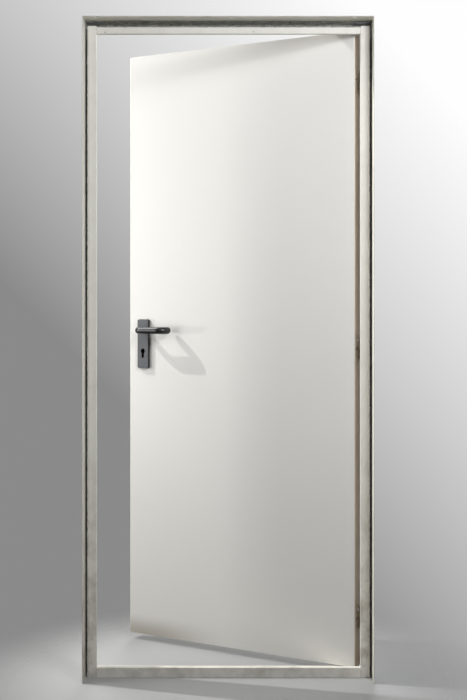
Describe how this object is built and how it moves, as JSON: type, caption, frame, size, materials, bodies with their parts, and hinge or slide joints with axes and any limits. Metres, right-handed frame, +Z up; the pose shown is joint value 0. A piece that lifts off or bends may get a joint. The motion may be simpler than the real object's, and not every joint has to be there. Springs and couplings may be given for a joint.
{
  "type": "steel door with frame",
  "caption": "Flat painted steel door leaf in a folded sheet steel frame with sill, hinged on its right and standing ajar, with a returned lever on a long plate and a mortise lock.",
  "frame": {"origin": "middle of the frame's underside, in the plane of the front face of the jambs and sill", "axes": "+X to the right as seen from the push side, where the hinges are; +Y through the doorway, the way the leaf opens; +Z up"},
  "size_m": [0.9, 0.5458, 2.055],
  "materials": {
    "frame_paint": "grey-white powder coat, satin",
    "leaf_paint": "grey-white powder coat, satin",
    "zinc_steel": "galvanised, dull",
    "bright_steel": "zinc plated",
    "hinge_paint": "galvanised and thinly coated",
    "brass": "turned",
    "seal_rubber": "black, matt",
    "honeycomb": "pale paper board",
    "black_plastic": "black, moulded, half gloss"
  },
  "bodies": {
    "frame": {"hinge_jamb": "frame_paint", "lock_jamb": "frame_paint", "head": "frame_paint", "sill": "frame_paint", "corner_brackets": "zinc_steel", "corner_screws": "bright_steel", "rebate_seal": "seal_rubber", "strike_plate": "bright_steel", "strike_box": "zinc_steel", "strike_screws": "bright_steel", "lower_hinge_frame_half": "hinge_paint", "middle_hinge_frame_half": "hinge_paint", "upper_hinge_frame_half": "hinge_paint", "hinge_pins": "bright_steel", "hinge_washers": "brass", "frame_hinge_screws": "bright_steel", "hinge_backing_plates": "zinc_steel"},
    "leaf": {"front_skin": "leaf_paint", "back_skin": "leaf_paint", "hinge_stile": "zinc_steel", "lock_stile": "zinc_steel", "top_channel": "zinc_steel", "bottom_channel": "zinc_steel", "core": "honeycomb", "lock_case": "zinc_steel", "forend": "bright_steel", "forend_screws": "bright_steel", "front_backplate": "black_plastic", "rear_backplate": "black_plastic", "backplate_bolts": "bright_steel", "leaf_hinge_screws": "bright_steel", "lower_hinge_leaf_half": "hinge_paint", "middle_hinge_leaf_half": "hinge_paint", "upper_hinge_leaf_half": "hinge_paint"},
    "handle": {"front_lever": "black_plastic", "rear_lever": "black_plastic", "spindle": "bright_steel", "follower": "bright_steel"},
    "latch": {"latch_bolt": "bright_steel"},
    "bolt": {"dead_bolt": "bright_steel"}
  },
  "joints": [
    {"name": "leaf_hinge", "type": "hinge", "parent": "frame", "child": "leaf", "pos_m": [0.4256, 0.079, 1.027], "axis": [0, 0, -1], "range_deg": [-28.4, 141.6]},
    {"name": "handle_turn", "type": "hinge", "parent": "leaf", "child": "handle", "pos_m": [-0.2884, 0.42072, 1.077], "axis": [0.4756, 0.8796, 0], "range_deg": [0, 40], "stiffness_Nm_per_rad": 1.5},
    {"name": "latch_slide", "type": "slide", "parent": "leaf", "child": "latch", "axis": [0.8796, -0.4756, 0], "range_m": [0, 0.012]},
    {"name": "bolt_slide", "type": "slide", "parent": "leaf", "child": "bolt", "axis": [-0.8796, 0.4756, 0], "range_m": [0, 0.02]}
  ],
  "couplings": [
    {"joint": "latch_slide", "follows": "handle_turn", "m_per_rad": 0.0171}
  ]
}
